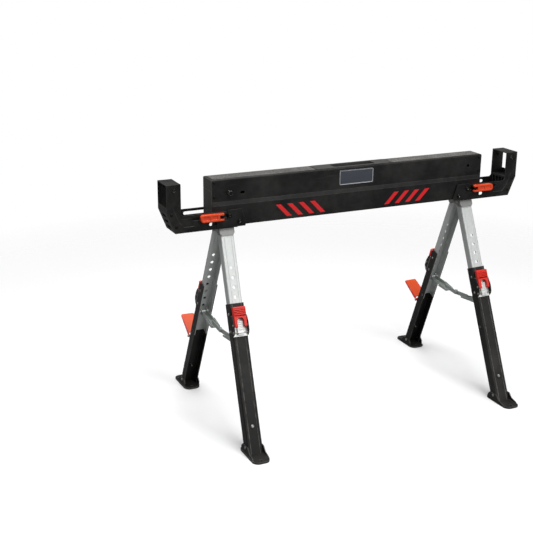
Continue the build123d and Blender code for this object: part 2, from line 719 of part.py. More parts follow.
def flap_pin():
    """Cross pin of the rail flap."""
    reach = FLAP_HALF + 2.6
    pin = rod("X", -reach, reach, 2.5, FLAP_OUT, -FLAP_AT)
    pin += domed("X", reach, 1, 4.4, 1.6, FLAP_OUT, -FLAP_AT)
    pin += domed("X", -reach, -1, 4.4, 1.6, FLAP_OUT, -FLAP_AT)
    return pin


def rail_flap():
    """Orange flap on the outside of a rear leg that carries a cross rail."""
    flap = block((-FLAP_HALF, -1.6, 12), (FLAP_HALF, 1.6, FLAP_LENGTH))
    flap = fillet(flap.edges().filter_by(Axis.Y).group_by(Axis.Z)[-1], 6)
    for x in (-FLAP_HALF, FLAP_HALF - 2.4):
        cheek = [(-1.6, FLAP_LENGTH - 8), (-4.2, 40), (-4.2, -1.5), (-1.5, -4.3), (1.5, -4.3)]
        cheek += [(4.5, -2), (4.5, 20), (1.6, FLAP_LENGTH - 8)]
        flap += plate_yz(cheek, x, x + 2.4)
    for x in (-8, 8):
        flap += block((x - 1, 1.6, 16), (x + 1, 3.2, FLAP_LENGTH - 8))
    flap -= rod("X", -40, 40, 2.5 + FIT, 0, 0)
    return Pos(0, FLAP_OUT, -FLAP_AT) * Rot(-FLAP_OPEN, 0, 0) * flap


# ---------------------------------------------------------------- brace between the legs of a pair
def brace_end():
    """Where a rear leg's brace pin stands in the leg head's frame, as Y and Z."""
    slope = math.radians(SPLAY)
    y = SPREAD_Y + BRACE_AT * math.sin(slope) + BRACE_INSET * math.cos(slope)
    z = SPREAD_Z - BRACE_AT * math.cos(slope) + BRACE_INSET * math.sin(slope)
    return y, z


def brace_length():
    return math.hypot(brace_end()[0], BRACE_SAG)


def brace_link(wide):
    """A brace link along +Y from its leg pin to the middle pivot, at the middle a flat lug."""
    length = brace_length()
    near = 14.0
    far = length - LUG_LENGTH
    link = block((-10, near, -9), (10, far, -7))
    flange = [(0, -9), (far, -9), (far, -4), (far - 50, 3), (0, 3)]
    for x in (-10, 8):
        link += plate_yz(flange, x, x + 2)
        link -= block((x - 1, -20, -30), (x + 3, 0, 30))
        link += rod("X", x, x + 2, 8.8, 0, 0)
        link -= block((x - 1, -9, -12), (x + 3, -1, -6.5))
    link -= rod("X", -30, 30, 3.5 + FIT, 0, 0)
    link += block((0.2, far - 24, -9), (2.6, length, 4))
    link += rod("X", 0.2, 2.6, 8, length, 0)
    link -= block((0, length - 1, -20), (3, length + 20, -8.0))
    if wide:
        link += block((-14, far - 44, -11), (14, far, -9))
        flange = [(far - 44, -11), (far, -11), (far, -4.5), (far - 44, 1.5)]
        for x in (-14, 12):
            link += plate_yz(flange, x, x + 2)
    link -= rod("X", 0, 3, 3.0, length, 0)
    return link


def half_rivet():
    """One link's half of the middle rivet."""
    length = brace_length()
    return rod("X", 0.2, 2.6, 3.0, length, 0) + domed("X", 2.6, 1, 5.5, 2.2, length, 0)


def link_at(side, depth):
    """Frame of a brace link: its leg pin at zero and +Y towards the middle pivot."""
    y, z = brace_end()
    slope = math.degrees(math.atan2(BRACE_SAG, y))
    place = head_at(side) * Pos(side * LEG_OFFSET, depth * y, z)
    place = place * Rot(depth * slope, 0, 0)
    if depth > 0:
        place = place * Rot(0, 0, 180)
    return place


def brace_pin():
    """Cross pin of a brace link, flush with the sides of the upper leg."""
    return rod("X", -UPPER_HALF, UPPER_HALF, 3.5, BRACE_INSET, -BRACE_AT)


# ---------------------------------------------------------------- build and write every node
def beam_nodes():
    left_cap = end_cap()
    left_tread = tread(-450, TRAY_START - 3)
    right_tread = tread(TRAY_END + 3, 450)
    return {
        "beam_shell": beam_shell(),
        "beam_end_cap_left": left_cap,
        "beam_end_cap_right": flip(left_cap),
        "beam_cap_rivets": cap_rivets(),
        "beam_tread_strips": group([left_tread, right_tread]),
        "beam_handle_tray": handle_tray(),
        "beam_name_plates": name_plates(),
        "beam_warning_stripes": group([stripes(-1), stripes(1)]),
        "beam_link_studs": link_studs(),
        "beam_bracket_plates": bracket_plates(),
        "beam_bolts_and_fold_pins": group(bracket_bolts() + fold_pins()),
    }


def arm_nodes():
    nodes = {}
    parts = {
        "arm_frame": arm_frame(),
        "arm_insert": arm_insert(),
        "arm_fixings": arm_fixings(),
        "cam_bolt": cam_bolt(),
        "cam_lever": cam_lever(),
    }
    for name, shape in parts.items():
        nodes[name + "_left"] = shape
        nodes[name + "_right"] = flip(shape)
    return nodes


def leg_nodes():
    nodes = {}
    for side, side_name in ((-1, "left"), (1, "right")):
        head = leg_head()
        pins = spread_pins()
        if side > 0:
            head, pins = flip(head), flip(pins)
        nodes["leg_head_" + side_name] = head.moved(head_at(side))
        nodes["leg_head_pins_" + side_name] = pins.moved(head_at(side))
        for depth, depth_name in ((-1, "front"), (1, "rear")):
            name = depth_name + "_" + side_name
            place = leg_at(side, depth)
            upper = group([upper_leg(), brace_pin()])
            nodes["upper_leg_" + name] = upper.moved(place)
            nodes["lower_leg_" + name] = lower_leg(side, depth).moved(place)
            nodes["foot_" + name] = foot(side, depth)
            base = latch_base()
            fixings = latch_fixings() + foot_rivets()
            if depth > 0:
                nodes["rail_flap_" + name] = rail_flap().moved(place)
                fixings.extend((flap_hinge(), flap_pin()))
            nodes["latch_base_" + name] = base.moved(place)
            nodes["leg_fixings_" + name] = group(fixings).moved(place)
            nodes["latch_lever_" + name] = latch_lever().moved(place)
            nodes["latch_tab_" + name] = latch_tab().moved(place)
            link = group([brace_link(depth > 0), half_rivet()])
            nodes["brace_link_" + name] = link.moved(link_at(side, depth))
    return nodes


def write(nodes):
    os.makedirs("parts", exist_ok=True)
    for name, shape in nodes.items():
        export_step(shape, "parts/" + name + ".step")


write({**beam_nodes(), **arm_nodes(), **leg_nodes()})
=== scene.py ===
"""Folding sawhorse: rounded sheet-metal edges, finishes, small fittings, lights and camera."""

import json
import math

import bmesh
import bpy
from mathutils import Matrix, Vector

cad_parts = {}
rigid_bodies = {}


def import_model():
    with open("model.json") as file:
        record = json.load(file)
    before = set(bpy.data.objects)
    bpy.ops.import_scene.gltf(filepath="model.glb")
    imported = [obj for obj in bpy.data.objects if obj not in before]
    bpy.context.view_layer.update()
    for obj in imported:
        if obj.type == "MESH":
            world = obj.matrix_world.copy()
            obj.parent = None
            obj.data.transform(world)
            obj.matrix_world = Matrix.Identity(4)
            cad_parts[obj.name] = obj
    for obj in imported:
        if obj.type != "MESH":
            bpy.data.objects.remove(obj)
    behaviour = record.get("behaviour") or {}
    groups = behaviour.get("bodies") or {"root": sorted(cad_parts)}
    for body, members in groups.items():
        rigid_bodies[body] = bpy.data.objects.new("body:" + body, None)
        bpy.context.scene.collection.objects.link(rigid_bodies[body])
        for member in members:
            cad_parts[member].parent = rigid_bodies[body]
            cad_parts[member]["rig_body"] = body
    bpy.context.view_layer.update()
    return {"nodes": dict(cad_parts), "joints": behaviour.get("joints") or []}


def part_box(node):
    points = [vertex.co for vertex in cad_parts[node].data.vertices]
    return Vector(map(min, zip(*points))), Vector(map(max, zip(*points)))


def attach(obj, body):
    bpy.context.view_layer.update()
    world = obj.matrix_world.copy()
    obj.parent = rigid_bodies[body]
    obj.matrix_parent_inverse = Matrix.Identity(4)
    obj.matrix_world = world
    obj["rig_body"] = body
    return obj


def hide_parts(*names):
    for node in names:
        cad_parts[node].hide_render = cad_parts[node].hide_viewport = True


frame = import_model()

MM = 0.001
PIP_HEIGHT = 0.4 * MM
PIP_RADIUS = 1.5 * MM
PIP_PITCH = 6.0 * MM
PIP_SIDES = 7
PIP_TOP_SHARE = 0.55
TREAD_SIDE_MARGIN = 4 * MM
TREAD_END_MARGIN = 8 * MM
TREAD_TOP_BAND = 0.45 * MM

MERGE_DISTANCE = 2e-6
FLAT_ANGLE = math.radians(0.6)
SHARP_BEND = math.radians(35)
SHALLOW_BEND = math.radians(8)
WIDE_FACE = 4 * MM
SHADING_ANGLE = math.radians(48)
LARGEST_OVERSHOOT = 2e-5
LEAST_VOLUME_KEPT = 0.8
MOST_VOLUME_KEPT = 1.02

PLATE_FACE_AREA = 0.004
PLATE_FACE_OUT = 31.4 * MM
PLATE_RIM = 2.2 * MM
PLATE_SINK = 0.35 * MM

EAR_OUT = 16.4 * MM
EAR_ASIDE = 18.6 * MM
FLAP_HINGE_BELOW = 443 * MM
LUG_REACH = 13 * MM
LUG_ASIDE = 17.1 * MM
CHEEK_ASIDE = 19.4 * MM

FLOOR_REACH = 4.0
LAMP_AIM = Vector((0.0, 0.0, 0.45))
LENS = 68.95
SENSOR_WIDTH = 36.0
CAMERA_SPOT = (-1.4888, -2.6015, 1.3937)
CAMERA_AZIMUTH = math.radians(-25.09)
CAMERA_ELEVATION = math.radians(18.06)
CAMERA_ROLL = math.radians(-0.47)

JOINTS = {joint["name"]: joint for joint in frame["joints"]}
LEGS = ("front_left", "front_right", "rear_left", "rear_right")
ENDS = ("left", "right")


# ---------------------------------------------------------------- node helpers
def colour(red, green, blue):
    """Linear colour from screen values between 0 and 255."""

    def linear(value):
        share = value / 255
        return share / 12.92 if share <= 0.04045 else ((share + 0.055) / 1.055) ** 2.4

    return (linear(red), linear(green), linear(blue), 1.0)


def feed(tree, socket, value):
    """Join another node's output to a socket, or set the socket's own value."""
    if isinstance(value, bpy.types.NodeSocket):
        tree.links.new(value, socket)
    else:
        socket.default_value = value


def add(tree, kind, inputs=None, **settings):
    """Add a node with its settings and with its inputs fed by name or number."""
    made = tree.nodes.new(kind)
    for name, value in settings.items():
        setattr(made, name, value)
    for key, value in (inputs or {}).items():
        feed(tree, made.inputs[key], value)
    return made


def maths(tree, operation, first, second=0.0):
    """One sum of two values."""
    return add(tree, "ShaderNodeMath", {0: first, 1: second}, operation=operation).outputs[0]


def mixed(tree, share, first, second):
    """Mix two colours by a share."""
    inputs = {0: share, 6: first, 7: second}
    return add(tree, "ShaderNodeMix", inputs, data_type="RGBA", blend_type="MIX").outputs[2]


def stretched(tree, value, low, high, to_low=0.0, to_high=1.0):
    """Stretch a value between two limits on to two others, and hold it there."""
    inputs = {0: value, 1: low, 2: high, 3: to_low, 4: to_high}
    return add(tree, "ShaderNodeMapRange", inputs).outputs[0]


def place(tree, scale=(1.0, 1.0, 1.0), turn=(0.0, 0.0, 0.0)):
    """The point on the piece, scaled and turned for a pattern."""
    point = add(tree, "ShaderNodeTexCoord").outputs["Object"]
    return add(tree, "ShaderNodeMapping", {0: point, 2: turn, 3: scale}).outputs[0]


def noise(tree, scale, detail=2.0, rough=0.5, point=None):
    """Soft cloudy noise over the piece, or over a point already scaled."""
    inputs = {"Vector": point or place(tree), "Scale": scale, "Detail": detail, "Roughness": rough}
    return add(tree, "ShaderNodeTexNoise", inputs).outputs["Fac"]


def cells(tree, scale, feature="F1", output="Distance"):
    """A cell pattern's distance, or the colour of each cell."""
    inputs = {"Vector": place(tree), "Scale": scale}
    return add(tree, "ShaderNodeTexVoronoi", inputs, feature=feature).outputs[output]


def new_group(name, inputs, outputs):
    """An empty shader group with its named sockets, and its two end nodes."""
    tree = bpy.data.node_groups.new(name, "ShaderNodeTree")
    for label, kind, value in inputs:
        socket = tree.interface.new_socket(label, in_out="INPUT", socket_type=kind)
        socket.default_value = value
    for label, kind in outputs:
        tree.interface.new_socket(label, in_out="OUTPUT", socket_type=kind)
    return tree, tree.nodes.new("NodeGroupInput").outputs, tree.nodes.new("NodeGroupOutput").inputs


FLOAT = "NodeSocketFloat"
TINT = "NodeSocketColor"


# ---------------------------------------------------------------- effects shared by the finishes
def patches_group():
    """Soft patches and fine specks that break up one colour."""
    inputs = [
        ("Base", TINT, (0.5, 0.5, 0.5, 1.0)),
        ("Tint", TINT, (0.6, 0.6, 0.6, 1.0)),
        ("Patch Scale", FLOAT, 12.0),
        ("Speck Scale", FLOAT, 900.0),
        ("Specks", FLOAT, 0.3),
    ]
    tree, given, made = new_group("soft_patches", inputs, [("Color", TINT), ("Patch", FLOAT)])
    patch = stretched(tree, noise(tree, given["Patch Scale"], 4.0, 0.6), 0.35, 0.68)
    speck = stretched(tree, noise(tree, given["Speck Scale"], 2.0, 0.6), 0.52, 0.7)
    share = maths(tree, "MULTIPLY", speck, given["Specks"])
    both = maths(tree, "MAXIMUM", maths(tree, "MULTIPLY", patch, 0.6), share)
    feed(tree, made["Color"], mixed(tree, both, given["Base"], given["Tint"]))
    feed(tree, made["Patch"], patch)
    return tree


def edge_wear_and_highlight_group():
    """Lighter colour along the rounded edges: partly a painted edge highlight, partly paint rubbed
    thin, with a few small chips.
    """
    inputs = [
        ("Color", TINT, (0.5, 0.5, 0.5, 1.0)),
        ("Bare", TINT, (0.6, 0.6, 0.6, 1.0)),
        ("Amount", FLOAT, 0.5),
        ("Scale", FLOAT, 60.0),
    ]
    tree, given, made = new_group("edge_wear_and_highlight", inputs, [("Color", TINT), ("Mask", FLOAT)])
    edge = add(tree, "ShaderNodeAttribute", attribute_name="edge").outputs["Fac"]
    # Broken-up lighter band on the bevel faces: a painted edge highlight together with rubbed paint.
    edge_breakup = stretched(tree, noise(tree, given["Scale"], 5.0, 0.65), 0.38, 0.62, 0.25, 1.0)
    mask = maths(tree, "MULTIPLY", maths(tree, "MULTIPLY", edge, edge_breakup), given["Amount"])
    feed(tree, made["Color"], mixed(tree, mask, given["Color"], given["Bare"]))
    feed(tree, made["Mask"], mask)
    return tree


def dust_group():
    """A thin uneven film of workshop dust with a few light scuffs."""
    inputs = [
        ("Color", TINT, (0.5, 0.5, 0.5, 1.0)),
        ("Dust", TINT, (0.35, 0.34, 0.32, 1.0)),
        ("Amount", FLOAT, 0.1),
        ("Scuffs", FLOAT, 0.2),
    ]
    tree, given, made = new_group("dust_film", inputs, [("Color", TINT), ("Film", FLOAT)])
    film = stretched(tree, noise(tree, 7.0, 6.0, 0.7), 0.42, 0.75)
    film = maths(tree, "MULTIPLY", film, given["Amount"])
    point = place(tree, (9.0, 60.0, 160.0), (0.3, 0.2, 0.5))
    scuff = stretched(tree, noise(tree, 1.0, 3.0, 0.5, point), 0.68, 0.74)
    scuff = maths(tree, "MULTIPLY", maths(tree, "MULTIPLY", scuff, given["Scuffs"]), 0.4)
    share = maths(tree, "MAXIMUM", film, scuff)
    feed(tree, made["Color"], mixed(tree, share, given["Color"], given["Dust"]))
    feed(tree, made["Film"], share)
    return tree


def coat_grain_group():
    """The fine orange peel of a baked powder coat."""
    inputs = [("Scale", FLOAT, 600.0), ("Peel", FLOAT, 1.0)]
    tree, given, made = new_group("coat_grain", inputs, [("Height", FLOAT)])
    peel = noise(tree, given["Scale"], 1.5, 0.4)
    fine = noise(tree, maths(tree, "MULTIPLY", given["Scale"], 3.1), 1.0, 0.4)
    height = maths(tree, "MULTIPLY_ADD", fine, 0.35)
    feed(tree, height.node.inputs[2], peel)
    feed(tree, made["Height"], maths(tree, "MULTIPLY", height, given["Peel"]))
    return tree


def moulded_grain_group():
    """The pebbled texture of a moulded plastic part."""
    tree, given, made = new_group("moulded_grain", [("Scale", FLOAT, 900.0)], [("Height", FLOAT)])
    pebble = cells(tree, given["Scale"], feature="SMOOTH_F1")
    fine = noise(tree, maths(tree, "MULTIPLY", given["Scale"], 2.0), 1.0, 0.5)
    height = maths(tree, "MULTIPLY_ADD", fine, 0.4)
    feed(tree, height.node.inputs[2], pebble)
    feed(tree, made["Height"], height)
    return tree


def rolled_zinc_group():
    """Rolling lines, zinc spangle and faint stains of a galvanised sheet."""
    inputs = [
        ("Base", TINT, (0.6, 0.6, 0.6, 1.0)),
        ("Dull", TINT, (0.4, 0.4, 0.4, 1.0)),
        ("Spangle", FLOAT, 0.4),
        ("Lines", FLOAT, 0.3),
    ]
    outputs = [("Color", TINT), ("Dullness", FLOAT), ("Height", FLOAT)]
    tree, given, made = new_group("rolled_zinc", inputs, outputs)
    flakes = cells(tree, 130.0, output="Color")
    flake = add(tree, "ShaderNodeSeparateColor", {0: flakes}).outputs[0]
    lines = noise(tree, 1.0, 4.0, 0.6, place(tree, (700.0, 700.0, 14.0)))
    stain = stretched(tree, noise(tree, 16.0, 5.0, 0.65), 0.45, 0.72)
    share = maths(tree, "MULTIPLY", flake, given["Spangle"])
    streak = maths(tree, "MULTIPLY", stretched(tree, lines, 0.4, 0.65), given["Lines"])
    share = maths(tree, "MAXIMUM", share, streak)
    share = maths(tree, "MAXIMUM", share, maths(tree, "MULTIPLY", stain, 0.3))
    feed(tree, made["Color"], mixed(tree, share, given["Base"], given["Dull"]))
    feed(tree, made["Dullness"], share)
    feed(tree, made["Height"], maths(tree, "ADD", lines, maths(tree, "MULTIPLY", flake, 0.15)))
    return tree


PATCHES = patches_group()
EDGE_WEAR_AND_HIGHLIGHT = edge_wear_and_highlight_group()
DUST = dust_group()
COAT_GRAIN = coat_grain_group()
MOULDED_GRAIN = moulded_grain_group()
ROLLED_ZINC = rolled_zinc_group()


def effect(tree, group, **inputs):
    """Place a shared effect in a material and give its outputs."""
    made = tree.nodes.new("ShaderNodeGroup")
    made.node_tree = group
    for name, value in inputs.items():
        feed(tree, made.inputs[name.replace("_", " ").title()], value)
    return made.outputs


def new_finish(name, **constants):
    """An empty material with its shader's own constants set."""
    material = bpy.data.materials.new(name)
    material.use_nodes = True
    tree = material.node_tree
    shader = tree.nodes["Principled BSDF"].inputs
    for label, value in constants.items():
        shader[label.replace("_", " ")].default_value = value
    return material, tree, shader


def bumped(tree, shader, height, depth):
    """Turn a height into the surface's normal; depth is in metres."""
    inputs = {"Height": height, "Distance": depth, "Strength": 1.0}
    feed(tree, shader["Normal"], add(tree, "ShaderNodeBump", inputs).outputs[0])


# ---------------------------------------------------------------- finishes
def powder_coat(name, base, tint, bare, rough, wear_and_highlight=0.5, dust=0.08, scale=620.0, shine=0.25):
    """Baked powder coat on folded steel: orange peel, soft patches, and rubbed edges that also carry a
    painted edge highlight.
    """
    material, tree, shader = new_finish(name, IOR=1.5, Specular_IOR_Level=shine)
    look = effect(tree, PATCHES, base=base, tint=tint, patch_scale=9.0, specks=0.35)
    dusty = effect(tree, DUST, color=look["Color"], amount=dust, scuffs=dust * 2)
    worn_and_highlit = effect(tree, EDGE_WEAR_AND_HIGHLIGHT, color=dusty["Color"], bare=bare, amount=wear_and_highlight)
    feed(tree, shader["Base Color"], worn_and_highlit["Color"])
    gloss = stretched(tree, look["Patch"], 0.0, 1.0, rough - 0.05, rough + 0.06)
    gloss = maths(tree, "ADD", gloss, maths(tree, "MULTIPLY", dusty["Film"], 0.5))
    feed(tree, shader["Roughness"], gloss)
    bumped(tree, shader, effect(tree, COAT_GRAIN, scale=scale)["Height"], 0.00006)
    return material


def moulded_plastic(name, base, tint, bare, rough):
    """Moulded plastic with a pebbled grain and slightly polished edges, lightened with a painted edge
    highlight.
    """
    material, tree, shader = new_finish(name, IOR=1.48)
    look = effect(tree, PATCHES, base=base, tint=tint, patch_scale=22.0, specks=0.25)
    worn_and_highlit = effect(tree, EDGE_WEAR_AND_HIGHLIGHT, color=look["Color"], bare=bare, amount=0.3, scale=90.0)
    feed(tree, shader["Base Color"], worn_and_highlit["Color"])
    gloss = stretched(tree, look["Patch"], 0.0, 1.0, rough - 0.04, rough + 0.05)
    feed(tree, shader["Roughness"], maths(tree, "SUBTRACT", gloss, worn_and_highlit["Mask"]))
    bumped(tree, shader, effect(tree, MOULDED_GRAIN, scale=1000.0)["Height"], 0.00005)
    return material


def zinc_sheet(name, base, dull, rough, metallic, spangle=0.3):
    """Galvanised steel sheet: spangle, rolling lines along it and faint stains."""
    material, tree, shader = new_finish(name, IOR=1.5, Metallic=metallic)
    look = effect(tree, ROLLED_ZINC, base=base, dull=dull, spangle=spangle, lines=0.3)
    bright = colour(236, 237, 234)
    # Lighter bevel faces: a painted edge highlight, with some wear.
    worn_and_highlit = effect(tree, EDGE_WEAR_AND_HIGHLIGHT, color=look["Color"], bare=bright, amount=0.35)
    feed(tree, shader["Base Color"], worn_and_highlit["Color"])
    gloss = stretched(tree, look["Dullness"], 0.0, 0.5, rough - 0.05, rough + 0.1)
    feed(tree, shader["Roughness"], gloss)
    bumped(tree, shader, look["Height"], 0.00003)
    return material


def anti_slip(name):
    """Gritty anti-slip sheet: mineral grains in a dark binder."""
    material, tree, shader = new_finish(name, IOR=1.5)
    grains = cells(tree, 1100.0, output="Color")
    grain = add(tree, "ShaderNodeSeparateColor", {0: grains}).outputs[0]
    bright = stretched(tree, grain, 0.72, 0.95)
    base = mixed(tree, bright, colour(54, 53, 51), colour(126, 123, 120))
    dusty = effect(tree, DUST, color=base, amount=0.2, scuffs=0.3)
    feed(tree, shader["Base Color"], dusty["Color"])
    feed(tree, shader["Roughness"], stretched(tree, grain, 0.0, 1.0, 0.6, 0.9))
    bumped(tree, shader, cells(tree, 1100.0), 0.0004)
    return material


def warning_print(name):
    """Red screen print on the beam: slightly uneven ink with a soft gloss."""
    material, tree, shader = new_finish(name, IOR=1.5)
    look = effect(
        tree,
        PATCHES,
        base=colour(232, 18, 26),
        tint=colour(212, 14, 22),
        patch_scale=70.0,
        specks=0.5,
    )
    dusty = effect(tree, DUST, color=look["Color"], amount=0.05, scuffs=0.2)
    feed(tree, shader["Base Color"], dusty["Color"])
    feed(tree, shader["Roughness"], stretched(tree, look["Patch"], 0.0, 1.0, 0.36, 0.5))
    bumped(tree, shader, effect(tree, COAT_GRAIN, scale=620.0)["Height"], 0.00004)
    return material


def brushed_plate(name, base, dull, rough=0.32):
    """Brushed plate: fine scratches along the beam."""
    material, tree, shader = new_finish(name, IOR=1.5, Metallic=0.85)
    lines = noise(tree, 1.0, 5.0, 0.65, place(tree, (12.0, 900.0, 1400.0)))
    share = stretched(tree, lines, 0.35, 0.7)
    brushed = mixed(tree, share, base, dull)
    # Lighter bevel faces: a painted edge highlight, with some wear.
    worn_and_highlit = effect(tree, EDGE_WEAR_AND_HIGHLIGHT, color=brushed, bare=colour(240, 240, 238), amount=0.6)
    feed(tree, shader["Base Color"], worn_and_highlit["Color"])
    feed(tree, shader["Roughness"], stretched(tree, lines, 0.3, 0.7, rough - 0.06, rough + 0.1))
    bumped(tree, shader, lines, 0.00002)
    return material


def turned_steel(name, base, dull, rough, metallic=1.0):
    """Screws, pins and rivets, bright or blackened, with fine tool marks and dull spots."""
    material, tree, shader = new_finish(name, IOR=1.5, Metallic=metallic)
    look = effect(
        tree, PATCHES, base=base, tint=dull, patch_scale=180.0, speck_scale=2400.0, specks=0.5
    )
    # Lighter bevel faces: a painted edge highlight, with some wear.
    worn_and_highlit = effect(tree, EDGE_WEAR_AND_HIGHLIGHT, color=look["Color"], bare=colour(235, 235, 232), amount=0.5)
    feed(tree, shader["Base Color"], worn_and_highlit["Color"])
    feed(tree, shader["Roughness"], stretched(tree, look["Patch"], 0.0, 1.0, rough, rough + 0.18))
    bumped(tree, shader, noise(tree, 2200.0, 2.0), 0.00002)
    return material


BLACK = colour(13, 12, 12)
BLACK_TINT = colour(20, 19, 19)
# Edge colour of the black coats: a painted edge highlight, with some rubbed paint.
WORN_AND_HIGHLIGHT_BLACK = colour(92, 90, 88)

# Each finish's third colour is its edge colour: a painted edge highlight, with some wear.
FINISHES = {
    "beam_black": powder_coat("beam_powder_coat", BLACK, BLACK_TINT, WORN_AND_HIGHLIGHT_BLACK, 0.42),
    "arm_black": powder_coat("arm_powder_coat", BLACK, BLACK_TINT, WORN_AND_HIGHLIGHT_BLACK, 0.44, dust=0.12),
    "bracket_black": powder_coat("bracket_powder_coat", BLACK, BLACK_TINT, WORN_AND_HIGHLIGHT_BLACK, 0.4),
    # The third colour and the 0.9 amount lay a painted edge highlight, with some rubbed paint, on the
    # leg coat's rounded edges.
    "leg_black": powder_coat(
        "leg_powder_coat",
        colour(25, 24, 23),
        colour(33, 32, 31),
        colour(128, 126, 123),
        0.4,
        wear_and_highlight=0.9,
        scale=540.0,
    ),
    "cap_grey": powder_coat(
        "cap_powder_coat", colour(58, 58, 57), colour(68, 68, 66), colour(120, 120, 118), 0.5
    ),
    "tread_black": anti_slip("anti_slip_grit"),
    "tray_black": moulded_plastic(
        "tray_plastic", colour(56, 55, 54), colour(66, 65, 63), colour(100, 99, 97), 0.46
    ),
    "insert_black": moulded_plastic(
        "insert_plastic", colour(28, 27, 27), colour(36, 35, 35), colour(80, 79, 77), 0.5
    ),
    "lever_orange": moulded_plastic(
        "clamp_lever_plastic", colour(232, 74, 30), colour(214, 62, 24), colour(246, 124, 84), 0.4
    ),
    "latch_red": moulded_plastic(
        "latch_lever_plastic", colour(228, 44, 30), colour(208, 36, 26), colour(242, 100, 80), 0.38
    ),
    "flap_orange": powder_coat(
        "flap_powder_coat", colour(230, 86, 40), colour(214, 74, 32), colour(240, 140, 104), 0.4
    ),
    "plate_grey": brushed_plate("plate_rim", colour(206, 208, 212), colour(176, 178, 182)),
    "stripe_red": warning_print("stripe_ink"),
    "zinc_steel": turned_steel("zinc_fittings", colour(176, 175, 170), colour(138, 138, 134), 0.3),
    "bright_steel": turned_steel(
        "bright_fittings", colour(238, 239, 237), colour(206, 207, 205), 0.3, metallic=0.4
    ),
    "galvanised": zinc_sheet(
        "galvanised_sheet", colour(216, 219, 217), colour(176, 181, 178), 0.4, 0.5
    ),
    "hood_steel": zinc_sheet(
        "hood_sheet", colour(150, 151, 149), colour(122, 123, 121), 0.46, 0.6, spangle=0.2
    ),
}
BRACE_STEEL = zinc_sheet("brace_sheet", colour(184, 191, 187), colour(148, 156, 152), 0.42, 0.5)
BLACK_STEEL = turned_steel("black_fittings", colour(46, 45, 44), colour(34, 33, 32), 0.36)
PLATE_FIELD = brushed_plate("plate_field", colour(92, 96, 104), colour(74, 78, 86), 0.4)


# ---------------------------------------------------------------- rounded copies of the CAD parts
def is_bend(edge):
    """Whether an edge is worth rounding: a sharp one, or a shallow bend between two wide faces."""
    if not edge.is_manifold:
        return False
    angle = edge.calc_face_angle(0.0)
    if angle > SHARP_BEND:
        return True
    widths = [
        face.calc_area() / max(side.calc_length() for side in face.edges) for face in edge.link_faces
    ]
    return angle > SHALLOW_BEND and min(widths) > WIDE_FACE


def joined_mesh(node):
    """A CAD node's mesh with its doubles merged and its flat faces joined."""
    mesh = bmesh.new()
    mesh.from_mesh(frame["nodes"][node].data)
    bmesh.ops.remove_doubles(mesh, verts=mesh.verts, dist=MERGE_DISTANCE)
    bmesh.ops.dissolve_limit(mesh, angle_limit=FLAT_ANGLE, verts=mesh.verts, edges=mesh.edges)
    return mesh


def overshoot(mesh, low, high):
    """How far a mesh stands out of a box."""
    far = 0.0
    for vertex in mesh.verts:
        for axis in range(3):
            far = max(far, low[axis] - vertex.co[axis], vertex.co[axis] - high[axis])
    return far


def round_edges(node, width, segments):
    """The node's mesh with its sharp edges rounded and marked; a narrower edge where it needs one."""
    low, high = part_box(node)
    for share in (1.0, 0.5, 0.25):
        mesh = joined_mesh(node)
        marks = mesh.faces.layers.float.new("edge")
        full = abs(mesh.calc_volume())
        made = bmesh.ops.bevel(
            mesh,
            geom=[edge for edge in mesh.edges if is_bend(edge)],
            offset=width * share,
            offset_type="OFFSET",
            segments=segments,
            profile=0.5,
            affect="EDGES",
            clamp_overlap=False,
            loop_slide=True,
        )
        for face in made["faces"]:
            face[marks] = 1.0
        kept = abs(mesh.calc_volume()) / max(full, 1e-12)
        inside = overshoot(mesh, low, high) < LARGEST_OVERSHOOT
        if inside and LEAST_VOLUME_KEPT < kept < MOST_VOLUME_KEPT:
            return mesh
        mesh.free()
    plain = joined_mesh(node)
    plain.faces.layers.float.new("edge")
    return plain


def finish_piece(name, data, body, nodes, finishes):
    """Put a finished mesh in the scene, on its body and in place of its CAD nodes."""
    for finish in finishes:
        data.materials.append(finish)
    data.shade_smooth()
    data.set_sharp_from_angle(angle=SHADING_ANGLE)
    piece = bpy.data.objects.new(name, data)
    bpy.context.scene.collection.objects.link(piece)
    shading = piece.modifiers.new("even_shading", "WEIGHTED_NORMAL")
    shading.keep_sharp = True
    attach(piece, body)
    if nodes:
        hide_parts(*nodes)
    return piece


def rounded_part(node, slot, width=0.5, segments=2, finish=None, second=None, where=None, change=None):
    """A CAD node with rounded edges and its slot's finish, or another one in its place.

    Faces that pass the test in where take the second finish.
    """
    mesh = round_edges(node, width * MM, segments)
    if change:
        change(mesh)
    if where:
        for face in mesh.faces:
            if where(face.calc_center_median()):
                face.material_index = 1
    data = bpy.data.meshes.new(node + "_shaped")
    mesh.to_mesh(data)
    mesh.free()
    finishes = [finish or FINISHES[slot]] + ([second] if second else [])
    body = frame["nodes"][node]["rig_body"]
    return finish_piece(node + "_shaped", data, body, [node], finishes)


def leg_frame(leg):
    """A leg's own frame: X across it, Y out of its web, Z up along it, its spread pin at zero."""
    origin = Vector(JOINTS["leg_spread_" + leg]["pos_m"])
    along = Vector(JOINTS["leg_height_" + leg]["axis"])
    up = along if along.z > 0 else -along
    across = Vector(JOINTS["leg_spread_" + leg]["axis"])
    if leg.startswith("front"):
        across = -across
    out = up.cross(across)
    return Matrix.Translation(origin) @ Matrix((across, out, up)).transposed().to_4x4()


def lowered_tread(mesh):
    """Sink the anti-slip sheet a little so that its pips end level with the beam's top."""
    top = max(vertex.co.z for vertex in mesh.verts)
    for vertex in mesh.verts:
        if vertex.co.z > top - TREAD_TOP_BAND:
            vertex.co.z -= PIP_HEIGHT


